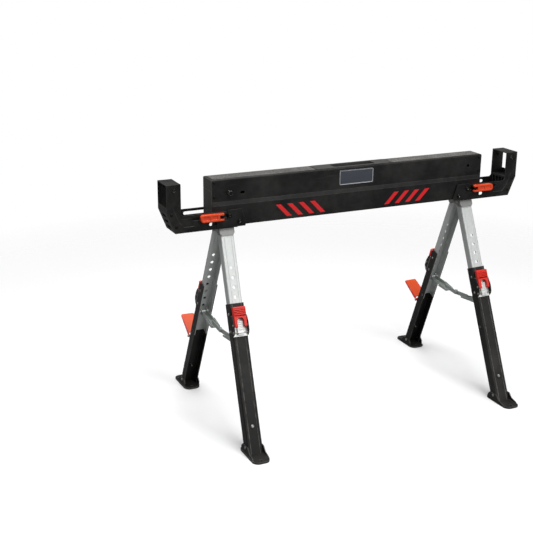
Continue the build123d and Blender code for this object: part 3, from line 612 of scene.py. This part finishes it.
def framed_plates(mesh):
    """Sink the middle of each name plate's face inside a narrow rim."""
    upright = [face for face in mesh.faces if abs(face.normal.y) > 0.99]
    faces = [face for face in upright if face.calc_area() > PLATE_FACE_AREA]
    outer = [face for face in faces if abs(face.calc_center_median().y) > PLATE_FACE_OUT]
    bmesh.ops.inset_region(mesh, faces=outer, thickness=PLATE_RIM, depth=-PLATE_SINK)
    for face in outer:
        face.material_index = 1


def beam_parts():
    """The beam, its caps, tread, plates, stripes, studs and brackets."""
    rounded_part("beam_shell", "beam_black", 0.5)
    for end in ENDS:
        rounded_part("beam_end_cap_" + end, "cap_grey", 0.6)
    rounded_part("beam_cap_rivets", "zinc_steel", 0.2, finish=BLACK_STEEL)
    rounded_part("beam_tread_strips", "tread_black", 0.25, change=lowered_tread)
    rounded_part("beam_handle_tray", "tray_black", 0.4)
    rounded_part("beam_name_plates", "plate_grey", 0.25, second=PLATE_FIELD, change=framed_plates)
    rounded_part("beam_warning_stripes", "stripe_red", 0.05, 1)
    rounded_part("beam_link_studs", "zinc_steel", 0.5, finish=BLACK_STEEL)
    rounded_part("beam_bracket_plates", "bracket_black", 0.5)
    rounded_part("beam_bolts_and_fold_pins", "zinc_steel", 0.4, finish=BLACK_STEEL)


def arm_parts():
    """Each end's support arm, clamp and leg head."""
    for end in ENDS:
        rounded_part("arm_frame_" + end, "arm_black", 0.5)
        rounded_part("arm_insert_" + end, "insert_black", 0.5)
        rounded_part("arm_fixings_" + end, "zinc_steel", 0.2, finish=BLACK_STEEL)
        rounded_part("cam_bolt_" + end, "zinc_steel", 0.3, finish=BLACK_STEEL)
        rounded_part("cam_lever_" + end, "lever_orange", 0.9, 3)
        rounded_part("leg_head_" + end, "hood_steel", 0.4)
        rounded_part("leg_head_pins_" + end, "zinc_steel", 0.3)


def ear_test(leg):
    """Tells the latch's black ears from its bright floor."""
    inverse = leg_frame(leg).inverted()

    def is_ear(centre):
        spot = inverse @ centre
        return spot.y > EAR_OUT and abs(spot.x) > EAR_ASIDE

    return is_ear


def lug_test(leg):
    """Tells the rail flap's black hinge lugs from the bright rivets and pins."""
    inverse = leg_frame(leg).inverted()

    def is_lug(centre):
        spot = inverse @ centre
        return abs(spot.z + FLAP_HINGE_BELOW) < LUG_REACH and abs(spot.x) < LUG_ASIDE

    return is_lug


def cheek_test(leg):
    """Tells the rail flap's red cheeks from its orange panel."""
    inverse = leg_frame(leg).inverted()

    def is_cheek(centre):
        return abs((inverse @ centre).x) > CHEEK_ASIDE

    return is_cheek


def leg_parts():
    """Each leg with its brace link, foot, latch and, at the rear, its rail flap."""
    for leg in LEGS:
        rounded_part("upper_leg_" + leg, "galvanised", 0.4)
        rounded_part("brace_link_" + leg, "galvanised", 0.3, finish=BRACE_STEEL)
        rounded_part("lower_leg_" + leg, "leg_black", 0.5)
        rounded_part("foot_" + leg, "leg_black", 0.5)
        rounded_part(
            "latch_base_" + leg,
            "bright_steel",
            0.3,
            second=FINISHES["leg_black"],
            where=ear_test(leg),
        )
        if leg.startswith("rear"):
            rounded_part(
                "leg_fixings_" + leg,
                "zinc_steel",
                0.25,
                second=FINISHES["leg_black"],
                where=lug_test(leg),
            )
            rounded_part(
                "rail_flap_" + leg,
                "flap_orange",
                0.5,
                second=FINISHES["latch_red"],
                where=cheek_test(leg),
            )
        else:
            rounded_part("leg_fixings_" + leg, "zinc_steel", 0.25)
        rounded_part("latch_lever_" + leg, "latch_red", 0.4)
        rounded_part("latch_tab_" + leg, "bright_steel", 0.3)


# ---------------------------------------------------------------- anti-slip pips
def pip_tree():
    """Geometry Nodes: staggered rows of low blunt pips over a sheet."""
    tree = bpy.data.node_groups.new("anti_slip_pips", "GeometryNodeTree")
    sizes = (
        ("Length", 300 * MM),
        ("Width", 40 * MM),
        ("Pitch", PIP_PITCH),
        ("Pip Radius", PIP_RADIUS),
        ("Pip Height", PIP_HEIGHT),
    )
    tree.interface.new_socket("Geometry", in_out="INPUT", socket_type="NodeSocketGeometry")
    for label, value in sizes:
        socket = tree.interface.new_socket(label, in_out="INPUT", socket_type="NodeSocketFloat")
        socket.default_value = value
    tree.interface.new_socket("Finish", in_out="INPUT", socket_type="NodeSocketMaterial")
    tree.interface.new_socket("Geometry", in_out="OUTPUT", socket_type="NodeSocketGeometry")
    given = tree.nodes.new("NodeGroupInput").outputs
    made = tree.nodes.new("NodeGroupOutput").inputs
    across = maths(tree, "DIVIDE", given["Length"], given["Pitch"])
    along = maths(tree, "DIVIDE", given["Width"], maths(tree, "MULTIPLY", given["Pitch"], 0.5))
    spread = {
        "Size X": given["Length"],
        "Size Y": given["Width"],
        "Vertices X": across,
        "Vertices Y": along,
    }
    grid = add(tree, "GeometryNodeMeshGrid", spread)
    rows = maths(tree, "FLOOR", along)
    index = add(tree, "GeometryNodeInputIndex").outputs[0]
    odd = maths(tree, "MODULO", maths(tree, "MODULO", index, rows), 2.0)
    shift = maths(tree, "MULTIPLY", maths(tree, "MULTIPLY", odd, given["Pitch"]), 0.5)
    step = add(tree, "ShaderNodeCombineXYZ", {0: shift}).outputs[0]
    moved = add(tree, "GeometryNodeSetPosition", {"Geometry": grid.outputs["Mesh"], "Offset": step})
    shape = {
        "Vertices": PIP_SIDES,
        "Radius Top": maths(tree, "MULTIPLY", given["Pip Radius"], PIP_TOP_SHARE),
        "Radius Bottom": given["Pip Radius"],
        "Depth": given["Pip Height"],
    }
    pip = add(tree, "GeometryNodeMeshCone", shape)
    places = {"Points": moved.outputs[0], "Instance": pip.outputs["Mesh"]}
    copies = add(tree, "GeometryNodeInstanceOnPoints", places)
    whole = add(tree, "GeometryNodeRealizeInstances", {0: copies.outputs[0]})
    finished = {"Geometry": whole.outputs[0], "Material": given["Finish"]}
    dressed = add(tree, "GeometryNodeSetMaterial", finished)
    feed(tree, made["Geometry"], dressed.outputs[0])
    return tree


def grown(name, tree, inputs):
    """The plain mesh that a Geometry Nodes tree makes from its named inputs."""
    holder = bpy.data.objects.new(name + "_holder", bpy.data.meshes.new(name + "_base"))
    bpy.context.scene.collection.objects.link(holder)
    modifier = holder.modifiers.new("grown", "NODES")
    modifier.node_group = tree
    sockets = {item.name: item for item in tree.interface.items_tree if item.in_out == "INPUT"}
    for label, value in inputs.items():
        modifier[sockets[label].identifier] = value
    seen = bpy.context.evaluated_depsgraph_get()
    mesh = bpy.data.meshes.new_from_object(holder.evaluated_get(seen))
    bpy.data.objects.remove(holder)
    mesh.name = name
    return mesh


def tread_pips():
    """Pips over each end of the anti-slip sheet, either side of the hand grip."""
    tree = pip_tree()
    low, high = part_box("beam_tread_strips")
    tray_low, tray_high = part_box("beam_handle_tray")
    spans = {"left": (low.x, tray_low.x), "right": (tray_high.x, high.x)}
    for end, (start, stop) in spans.items():
        inputs = {
            "Length": stop - start - 2 * TREAD_END_MARGIN,
            "Width": high.y - low.y - 2 * TREAD_SIDE_MARGIN,
            "Pitch": PIP_PITCH,
            "Pip Radius": PIP_RADIUS,
            "Pip Height": PIP_HEIGHT,
            "Finish": FINISHES["tread_black"],
        }
        mesh = grown("tread_pips_" + end, tree, inputs)
        middle = (start + stop) / 2 - PIP_PITCH / 4
        mesh.transform(Matrix.Translation((middle, 0, high.z - PIP_HEIGHT)))
        finish_piece("tread_pips_" + end, mesh, "beam", [], [])


# ---------------------------------------------------------------- lights, floor and camera
def floor_finish():
    """Pale studio floor that fades out around the object and throws little light back up."""
    material, tree, shader = new_finish("pale_floor", Roughness=0.6)
    inputs = {"base": colour(246, 246, 246), "tint": colour(242, 242, 242), "patch_scale": 0.8}
    pale = effect(tree, PATCHES, specks=0.1, **inputs)["Color"]
    seen = add(tree, "ShaderNodeLightPath").outputs["Is Camera Ray"]
    feed(tree, shader["Base Color"], mixed(tree, seen, (0.16, 0.16, 0.16, 1.0), pale))
    point = add(tree, "ShaderNodeTexCoord").outputs["Object"]
    away = add(tree, "ShaderNodeVectorMath", {0: point}, operation="LENGTH").outputs["Value"]
    feed(tree, shader["Alpha"], stretched(tree, away, 0.9, 2.4, 1.0, 0.0))
    return material


def studio_sky():
    """A dim even sky that the camera sees as white paper."""
    world = bpy.data.worlds.new("studio_sky")
    world.use_nodes = True
    tree = world.node_tree
    seen = add(tree, "ShaderNodeLightPath").outputs["Is Camera Ray"]
    sky = tree.nodes["Background"].inputs
    sky["Color"].default_value = (1.0, 1.0, 1.0, 1.0)
    feed(tree, sky["Strength"], stretched(tree, seen, 0.0, 1.0, 0.2, 1.0))
    bpy.context.scene.world = world


def studio():
    """The floor, the sky and the four soft boxes."""
    data = bpy.data.meshes.new("studio_floor")
    reach = FLOOR_REACH
    corners = [(-reach, -reach, 0), (reach, -reach, 0), (reach, reach, 0), (-reach, reach, 0)]
    data.from_pydata(corners, [], [(0, 1, 2, 3)])
    data.materials.append(floor_finish())
    floor = bpy.data.objects.new("studio_floor", data)
    bpy.context.scene.collection.objects.link(floor)
    studio_sky()
    bpy.context.scene.view_settings.view_transform = "Standard"
    lamp("key", (0.2, -2.2, 3.6), 1.8, 92.0)
    lamp("card", (1.2, -2.7, 1.25), 1.3, 15.0)
    lamp("top", (-0.2, 0.6, 3.6), 2.6, 110.0)
    lamp("rim", (-2.6, 0.6, 1.6), 1.2, 10.0)


def lamp(name, spot, size, watts):
    """A square soft box aimed at the middle of the sawhorse."""
    data = bpy.data.lights.new(name + "_softbox", "AREA")
    data.shape = "SQUARE"
    data.size = size
    data.energy = watts
    made = bpy.data.objects.new(name + "_softbox", data)
    made.location = spot
    aim = LAMP_AIM - Vector(spot)
    made.rotation_euler = aim.to_track_quat("-Z", "Y").to_euler()
    bpy.context.scene.collection.objects.link(made)


def camera():
    """A camera a little above the beam, off the left front corner."""
    data = bpy.data.cameras.new("camera")
    data.lens = LENS
    data.sensor_width = SENSOR_WIDTH
    made = bpy.data.objects.new("camera", data)
    bpy.context.scene.collection.objects.link(made)
    level = math.cos(CAMERA_ELEVATION)
    rise = math.sin(CAMERA_ELEVATION)
    back = Vector((math.sin(CAMERA_AZIMUTH) * level, -math.cos(CAMERA_AZIMUTH) * level, rise))
    right = (-back).cross(Vector((0, 0, 1))).normalized()
    up = back.cross(right)
    turned_right = math.cos(CAMERA_ROLL) * right - math.sin(CAMERA_ROLL) * up
    turned_up = math.sin(CAMERA_ROLL) * right + math.cos(CAMERA_ROLL) * up
    axes = Matrix((turned_right, turned_up, back)).transposed().to_4x4()
    made.matrix_world = Matrix.Translation(CAMERA_SPOT) @ axes
    bpy.context.scene.camera = made


camera()
beam_parts()
arm_parts()
leg_parts()
tread_pips()
studio()
